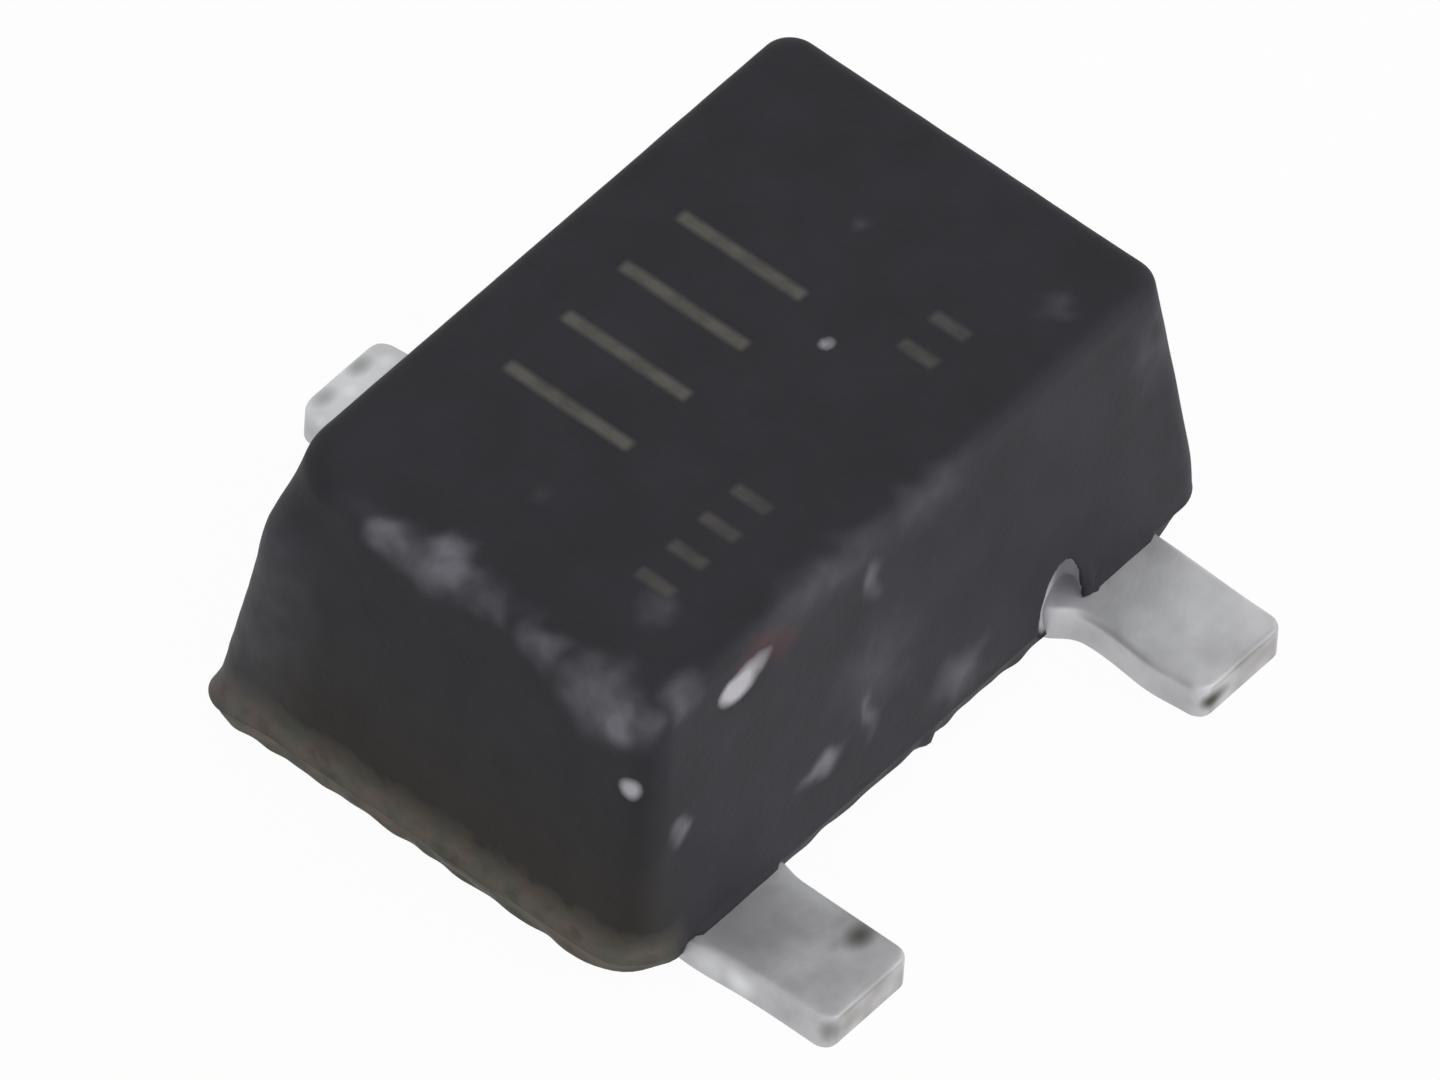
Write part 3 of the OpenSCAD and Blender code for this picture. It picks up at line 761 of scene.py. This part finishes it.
def tick_row(tree, where, row, tick_l, stroke):
    """Mask of a row of equal ticks along Y on the top face, in millimetres: the distance in X from the
    nearest tick's middle line, which ping-pongs with the pitch, is under half a stroke, inside the row."""
    centre, pitch, count = row
    blur, skin = 0.008, 0.01
    split = add_node(tree, "SeparateXYZ", (where,))
    first_x = centre[0] - (count - 1) * pitch / 2
    from_first = add_node(tree, "Math", (split[0], first_x), operation="SUBTRACT")[0]
    to_line = add_node(tree, "Math", (from_first, pitch / 2), operation="PINGPONG")[0]
    across = add_node(tree, "MapRange", (to_line, stroke / 2 + blur, stroke / 2 - blur))[0]
    in_row = add_node(tree, "Math", (split[0], centre[0], count * pitch / 2), operation="COMPARE")[0]
    from_axis = add_node(tree, "Math", (split[1], centre[1]), operation="SUBTRACT")[0]
    off_axis = add_node(tree, "Math", (from_axis,), operation="ABSOLUTE")[0]
    along = add_node(tree, "MapRange", (off_axis, tick_l / 2 + blur, tick_l / 2 - blur))[0]
    mask = add_node(tree, "Math", (split[2], BODY_H / MM - skin), operation="GREATER_THAN")[0]
    for part in (across, in_row, along):
        mask = add_node(tree, "Math", (mask, part), operation="MULTIPLY")[0]
    return mask


def laser_ticks(tree, where, marks):
    """Mask of the plain ticks: a row of long ones and two rows of short, fainter ones."""
    stroke = marks.stroke / MM
    mask = tick_row(tree, where, LONG_TICKS, marks.long_tick / MM, stroke)
    for row in SHORT_TICKS:
        ticks = tick_row(tree, where, row, marks.short_tick / MM, stroke)
        fainter = add_node(tree, "Math", (ticks, 0.6), operation="MULTIPLY")[0]
        mask = add_node(tree, "Math", (mask, fainter), operation="MAXIMUM")[0]
    return mask


def resin_colour(tree, where, finish):
    """Colour of the clean resin: cloudy charcoal, bluish above and warmer low on the -X end, where a patchy
    film of brown and olive bleed lies along the foot."""
    split = add_node(tree, "SeparateXYZ", (where,))
    clouds, patches, blotches = (
        add_node(tree, "TexNoise", {"Vector": where, "Scale": 1 / size, "Detail": detail})["Fac"]
        for size, detail in ((0.16, 3.0), (0.10, 3.0), (0.06, 4.0)))
    cloudy = add_node(tree, "MapRange", (clouds, 0.3, 0.7, 0.90, 1.12))[0]
    at_end = add_node(tree, "MapRange", (split[0], *END_STRETCH))[0]
    lower = add_node(tree, "MapRange", (split[2], *BROWN_STRETCH))[0]
    browned = add_node(tree, "Math", (at_end, lower), operation="MULTIPLY")[0]
    tone = add_node(tree, "Mix", {"Factor": browned, "A": finish.resin, "B": finish.resin_warm},
                    data_type="RGBA")["Result"]
    tone = add_node(tree, "VectorMath", {0: tone, "Scale": cloudy}, operation="SCALE")[0]
    olive = add_node(tree, "MapRange", (patches, 0.42, 0.60))[0]
    film = add_node(tree, "Mix", {"Factor": olive, "A": finish.resin_bled, "B": finish.resin_olive},
                    data_type="RGBA")["Result"]
    edge = add_node(tree, "Math", (blotches, FILM_WAVES, split[2]), operation="MULTIPLY_ADD")[0]
    cover = add_node(tree, "MapRange", (blotches, 0.30, 0.55, 0.50, 1.0))[0]
    low = add_node(tree, "MapRange", (edge, *FILM_STRETCH))[0]
    for part in (low, at_end):
        cover = add_node(tree, "Math", (cover, part), operation="MULTIPLY")[0]
    return add_node(tree, "Mix", {"Factor": cover, "A": tone, "B": film}, data_type="RGBA")["Result"]


def moulded_epoxy(scene):
    """Transfer-moulded epoxy filled with silica and carbon black: a dense charcoal with a fine matte grain
    from the mould, bluish where clean, grey where rubbed, with painted highlights in that grey along the
    top edges, pale at chips and, as painted light, in the nick's hollow, and brownish where resin bled
    along the foot. The specular level is low, because the rough filler scatters nearly all the gloss."""
    finish = scene.finish_colours
    material, tree, where = new_material("moulded_epoxy")
    tone = resin_colour(tree, where, finish)
    streaks = add_node(tree, "TexNoise", {"Vector": where, "Scale": 1 / 0.06, "Detail": 3.0})["Fac"]
    patchy = add_node(tree, "MapRange", (streaks, 0.2, 0.8, 0.55, 1.25))[0]
    burnt = add_node(tree, "MapRange", (streaks, 0.2, 0.6, 0.35, 0.80))[0]
    rubbed, reddened, chipped = (add_node(tree, "Attribute", attribute_name=name)["Fac"]
                                 for name in ("rubbed", "reddened", "chipped"))
    ticks = laser_ticks(tree, where, scene.top_marks)
    uneven = add_node(tree, "Math", (streaks, 0.25, chipped), operation="MULTIPLY_ADD")[0]
    overlays = [
        # rubbed grey, which along the top edges is partly a painted highlight
        (add_node(tree, "Math", (rubbed, patchy), operation="MULTIPLY")[0], finish.resin_worn_and_sheen),
        (add_node(tree, "Math", (reddened, 0.7), operation="MULTIPLY")[0], finish.red_dust),
        (add_node(tree, "Math", (ticks, burnt), operation="MULTIPLY")[0], finish.laser),
        # pale chips, and painted light in the nick's hollow
        (add_node(tree, "MapRange", (uneven, 0.40, 0.85))[0], finish.resin_chip_and_nick_light),
    ]
    for cover, overlay in overlays:
        tone = add_node(tree, "Mix", {"Factor": cover, "A": tone, "B": overlay}, data_type="RGBA")["Result"]
    # The mould's fine grain, drawn at 0.018 mm, which is coarser than the real one, so that it shows
    grain = add_node(tree, "TexNoise", {"Vector": where, "Scale": 1 / 0.018, "Detail": 3.0})["Fac"]
    relief = add_node(tree, "Math", (ticks, -0.8, grain), operation="MULTIPLY_ADD")[0]
    add_surface(tree, tone, relief, 0.0014, {"Roughness": 0.62, "IOR": 1.5, "Specular IOR Level": 0.15})
    return material


def tin_plating(scene):
    """Matte tin electroplated on copper alloy: satin grey with a fine crystalline grain, soft clouds, a few
    dark and a few burnished spots, painted shade by the base lead's root and over the tips' cut edges, a
    painted highlight along the base lead's far edge, and brownish alloy on the cut tip."""
    if "tin_plating" in bpy.data.materials:
        return bpy.data.materials["tin_plating"]
    finish = scene.finish_colours
    material, tree, where = new_material("tin_plating")
    clouds = add_node(tree, "TexNoise", {"Vector": where, "Scale": 1 / 0.10, "Detail": 2.0})["Fac"]
    cloudy = add_node(tree, "MapRange", (clouds, 0.3, 0.7))[0]
    dull, pale = shade(finish.tin, 0.86), shade(finish.tin, 1.10)
    tone = add_node(tree, "Mix", {"Factor": cloudy, "A": dull, "B": pale}, data_type="RGBA")["Result"]
    # Each begins at the first value of its attribute and is full at the second
    overlays = {
        "bare": (0.0, 1.0, finish.copper_alloy),
        # the bright overlay holds burnished spots and a painted highlight
        "burnished": (0.0, 1.0, finish.tin_bright),
        # the dark overlay holds tarnish spots and painted shade
        "tarnished": (0.1, 0.7, finish.tarnish),
    }
    for name, (none, full, overlay) in overlays.items():
        amount = add_node(tree, "Attribute", attribute_name=name)["Fac"]
        cover = add_node(tree, "MapRange", (amount, none, full))[0]
        tone = add_node(tree, "Mix", {"Factor": cover, "A": tone, "B": overlay}, data_type="RGBA")["Result"]
    # Tin crystals, drawn at 0.014 mm, where matte tin's are 0.003 to 0.008 mm
    crystals = add_node(tree, "TexNoise", {"Vector": where, "Scale": 1 / 0.014, "Detail": 3.0})["Fac"]
    add_surface(tree, tone, crystals, 0.0005, {"Metallic": 0.85, "Roughness": 0.6})
    return material


def sawn_silicon(scene):
    """Silicon die with sawn sides: blue-grey and glossy, with fine saw lines."""
    tint = scene.finish_colours.silicon
    material, tree, where = new_material("sawn_silicon")
    lines = add_node(tree, "TexWave", {"Vector": where, "Scale": 1 / 0.02, "Distortion": 1.0},
                     bands_direction="Z")["Fac"]
    add_patterned(tree, lines, shade(tint, 0.85), tint, 0.0005, {"Metallic": 0.4, "Roughness": 0.22})
    return material


def silver_adhesive(scene):
    """Epoxy filled with silver flakes: a matte light grey with coarse bright flakes."""
    tint = scene.finish_colours.silver_paste
    material, tree, where = new_material("silver_adhesive")
    flakes = add_node(tree, "TexVoronoi", {"Vector": where, "Scale": 1 / 0.008})["Distance"]
    add_patterned(tree, flakes, tint, shade(tint, 0.7), 0.0008, {"Metallic": 0.6, "Roughness": 0.5})
    return material


def drawn_gold(scene):
    """Drawn gold wire: warm and bright, with faint marks of the drawing die."""
    tint = scene.finish_colours.gold
    material, tree, where = new_material("drawn_gold")
    marks = add_node(tree, "TexNoise", {"Vector": where, "Scale": 1 / 0.006, "Detail": 2.0})["Fac"]
    add_patterned(tree, marks, shade(tint, 0.92), tint, 0.0003, {"Metallic": 1.0, "Roughness": 0.25})
    return material


class TRANSISTOR_OT_inner_parts(bpy.types.Operator):
    """Finish the die, adhesive and bond wires, and the nodes under the new surfaces"""
    bl_idname = "transistor.inner_parts"
    bl_label = "Die and Bond Wires"

    def execute(self, context):
        gold = drawn_gold(context.scene)
        tin = tin_plating(context.scene)
        finishes = {
            "moulded_body": bpy.data.materials["moulded_epoxy"],
            "collector_lead": tin,
            "base_lead": tin,
            "emitter_lead": tin,
            "silicon_die": sawn_silicon(context.scene),
            "die_attach": silver_adhesive(context.scene),
            "base_bond_wire": gold,
            "emitter_bond_wire": gold,
        }
        for node, material in finishes.items():
            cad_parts[node].data.materials.clear()
            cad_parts[node].data.materials.append(material)
        return {"FINISHED"}


# Stage

KEY_HEADING = (0.35, -1.0, 0.35)    # direction from the object to the key lamp
FLOOR_GAP = 0.0005 * MM             # keeps the floor clear of the leads' undersides


def backdrop_share(tree):
    """1 for rays from the camera, a gloss or a transparent surface, which see the plain backdrop."""
    rays = add_node(tree, "LightPath")
    seen = add_node(tree, "Math", (rays["Is Camera Ray"], rays["Is Glossy Ray"]), operation="MAXIMUM")[0]
    return add_node(tree, "Math", (seen, rays["Is Transmission Ray"]), operation="MAXIMUM")[0]


def paper_floor(scene):
    """Pale matt paper. It shows as white with the object's soft shadow on it."""
    material, tree, where = new_material("paper_floor")
    tint = scene.finish_colours.floor
    fibres = add_node(tree, "TexNoise", {"Vector": where, "Scale": 1 / 0.8, "Detail": 4.0})["Fac"]
    tone = add_node(tree, "Mix", {"Factor": fibres, "A": tint, "B": shade(tint, 0.99)},
                    data_type="RGBA")["Result"]
    paper = add_node(tree, "BsdfDiffuse", (tone,))[0]
    white = add_node(tree, "Emission", ((1, 1, 1, 1), 1.0))[0]
    lit = add_node(tree, "Math", (backdrop_share(tree), scene.stage_settings.floor_white),
                   operation="MULTIPLY")[0]
    surface = add_node(tree, "MixShader", (lit, paper, white))[0]
    add_node(tree, "OutputMaterial", {"Surface": surface})
    return material


def studio_dome(scene, stage):
    """World light: a white rim that dims to the overhead share straight above and to the far_left share
    towards -X, and a plain white backdrop."""
    world = bpy.data.worlds.new("studio_dome")
    world.use_nodes = True
    tree = world.node_tree
    tree.nodes.clear()
    heading = add_node(tree, "SeparateXYZ", (add_node(tree, "TexCoord")["Generated"],))
    from_above = add_node(tree, "MapRange", (heading[2], 0.15, 0.85, 1.0, stage.overhead))[0]
    from_left = add_node(tree, "MapRange", (heading[0], 0.0, -0.9, 1.0, stage.far_left))[0]
    light = add_node(tree, "Math", (from_above, from_left), operation="MULTIPLY")[0]
    strength = add_node(tree, "Math", (light, backdrop_share(tree)), operation="MAXIMUM")[0]
    background = add_node(tree, "Background", ((1, 1, 1, 1), strength))
    add_node(tree, "OutputWorld", (background[0],))
    scene.world = world


def add_floor(scene, stage):
    """A square of paper just under the seating plane."""
    mesh = bpy.data.meshes.new("floor")
    sides = ((-1, -1), (1, -1), (1, 1), (-1, 1))
    corners = [(stage.floor_r * side_x, stage.floor_r * side_y, -FLOOR_GAP) for side_x, side_y in sides]
    mesh.from_pydata(corners, [], [(0, 1, 2, 3)])
    mesh.materials.append(paper_floor(scene))
    floor = bpy.data.objects.new("floor", mesh)
    scene.collection.objects.link(floor)


def add_key_lamp(stage):
    """A square soft lamp along the key heading, facing the object."""
    data = bpy.data.lights.new("key_lamp", "AREA")
    data.size = stage.key_width
    data.energy = stage.key_power
    lamp = bpy.data.objects.new("key_lamp", data)
    bpy.context.scene.collection.objects.link(lamp)
    lamp.location = Vector(KEY_HEADING).normalized() * stage.key_distance
    lamp.rotation_mode = "QUATERNION"
    lamp.rotation_quaternion = lamp.location.to_track_quat("Z", "Y")


def add_camera(stage):
    """The camera at the photograph's angle: turned by azimuth, elevation and roll, it looks at a point over
    the object's middle, moved by the framing shifts."""
    turn, rise, roll = stage.azimuth, stage.elevation, stage.roll
    level = np.array([np.cos(turn), np.sin(turn), 0])
    back = np.array([np.sin(turn) * np.cos(rise), -np.cos(turn) * np.cos(rise), np.sin(rise)])
    over = np.cross(back, level)
    right = np.cos(roll) * level + np.sin(roll) * over
    up = np.cos(roll) * over - np.sin(roll) * level
    aim = np.array([0, 0, stage.aim_z])
    place = aim + back * stage.distance + right * stage.aim_right + up * stage.aim_up
    data = bpy.data.cameras.new("camera")
    data.lens = stage.lens
    data.sensor_width = 36
    data.clip_start = 10 * MM
    data.clip_end = 10000 * MM
    camera = bpy.data.objects.new("camera", data)
    bpy.context.scene.collection.objects.link(camera)
    camera.matrix_world = Matrix(np.column_stack([right, up, back, place]).tolist()).to_4x4()
    bpy.context.scene.camera = camera


class TRANSISTOR_OT_stage(bpy.types.Operator):
    """Make the floor, the lamp, the dome and the camera"""
    bl_idname = "transistor.stage"
    bl_label = "Stage"

    def execute(self, context):
        scene, stage = context.scene, context.scene.stage_settings
        add_floor(scene, stage)
        studio_dome(scene, stage)
        add_key_lamp(stage)
        add_camera(stage)
        scene.view_settings.view_transform = "Standard"
        return {"FINISHED"}


class TRANSISTOR_PT_panel(bpy.types.Panel):
    """Lists the transistor's operators and sizes"""
    bl_label = "Transistor"
    bl_space_type = "VIEW_3D"
    bl_region_type = "UI"
    bl_category = "Transistor"

    def draw(self, context):
        for operator in OPERATORS:
            self.layout.operator(operator.bl_idname)
        for label in SETTINGS:
            box = self.layout.box()
            group = getattr(context.scene, label)
            for name in group.__annotations__:
                box.prop(group, name)


SETTINGS = {
    "body_sizes": BodySizes,
    "lead_sizes": LeadSizes,
    "top_marks": TopMarks,
    "finish_colours": FinishColours,
    "stage_settings": StageSettings,
}
OPERATORS = [TRANSISTOR_OT_body, TRANSISTOR_OT_leads, TRANSISTOR_OT_inner_parts, TRANSISTOR_OT_stage]
CLASSES = [*SETTINGS.values(), *OPERATORS, TRANSISTOR_PT_panel]


def register():
    for made in CLASSES:
        bpy.utils.register_class(made)
    for label, group in SETTINGS.items():
        setattr(bpy.types.Scene, label, PointerProperty(type=group))


def unregister():
    for label in SETTINGS:
        delattr(bpy.types.Scene, label)
    for made in reversed(CLASSES):
        bpy.utils.unregister_class(made)


def main():
    """Makes the transistor and its stage."""
    register()
    bpy.ops.transistor.body()
    bpy.ops.transistor.leads()
    bpy.ops.transistor.inner_parts()
    bpy.ops.transistor.stage()


if __name__ == "__main__":
    main()
